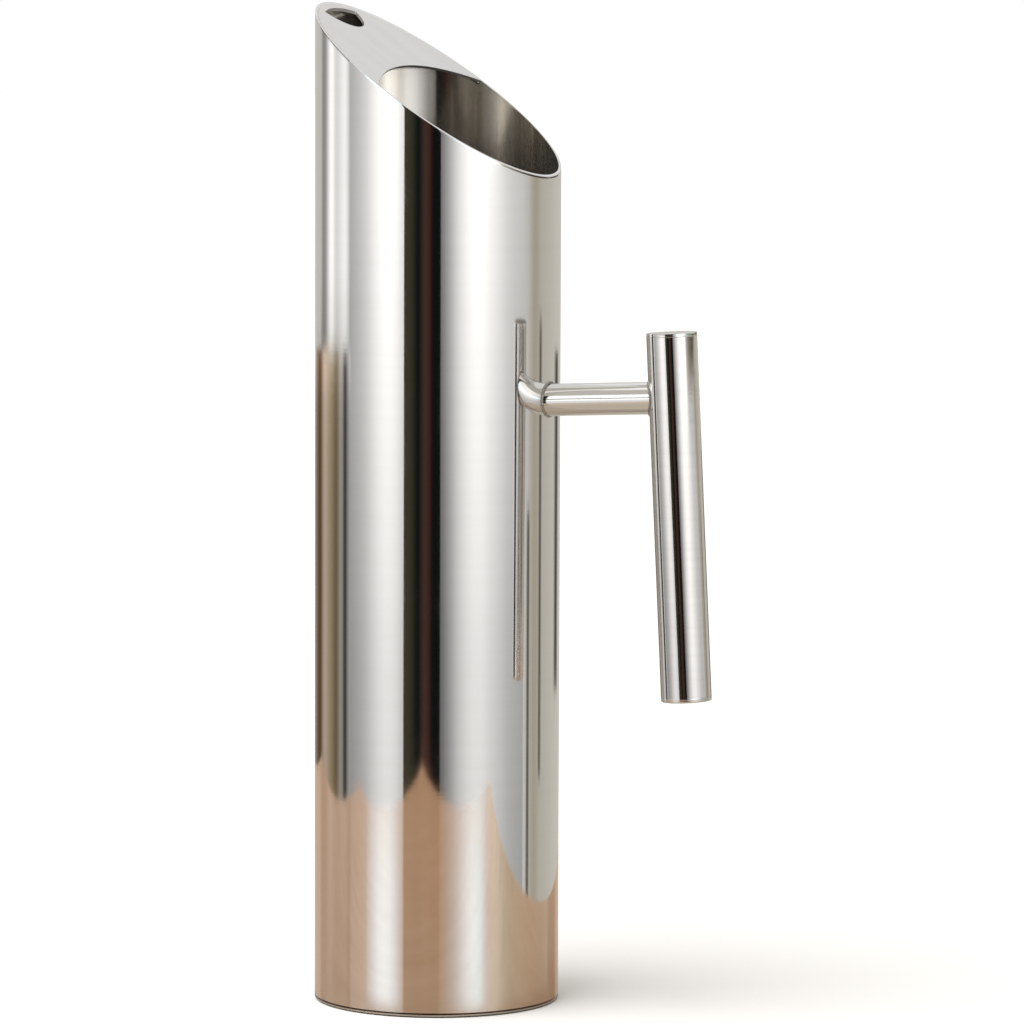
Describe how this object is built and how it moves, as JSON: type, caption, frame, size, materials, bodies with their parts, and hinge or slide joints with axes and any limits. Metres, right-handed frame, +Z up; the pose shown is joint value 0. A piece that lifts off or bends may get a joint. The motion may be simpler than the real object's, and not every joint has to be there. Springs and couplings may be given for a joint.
{
  "type": "water pitcher",
  "caption": "Tall straight water pitcher of polished sheet steel with a slanted mouth, a flat ice guard and a T-shaped tube handle.",
  "frame": {"origin": "centre of the flat ring that the pitcher stands on, on the body tube's axis", "axes": "+Z up along the body tube's axis; +X towards the handle, with the pouring lip at -X; +Y completes the right-handed frame, and the pitcher is alike on both sides of the XZ plane"},
  "size_m": [0.1454, 0.085, 0.346],
  "materials": {
    "mirror_steel": "polished",
    "grip_steel": "polished",
    "satin_steel": "satin",
    "base_steel": "satin",
    "weld_bead": "satin"
  },
  "bodies": {
    "root": {"body_tube": "mirror_steel", "base_pan": "base_steel", "base_weld": "weld_bead", "pour_guard": "satin_steel", "guard_weld": "weld_bead", "handle_arm": "mirror_steel", "arm_body_weld": "weld_bead", "arm_grip_weld": "weld_bead", "grip_tube": "grip_steel", "grip_top_cap": "grip_steel", "grip_bottom_cap": "grip_steel", "grip_cap_welds": "weld_bead"}
  },
  "joints": []
}
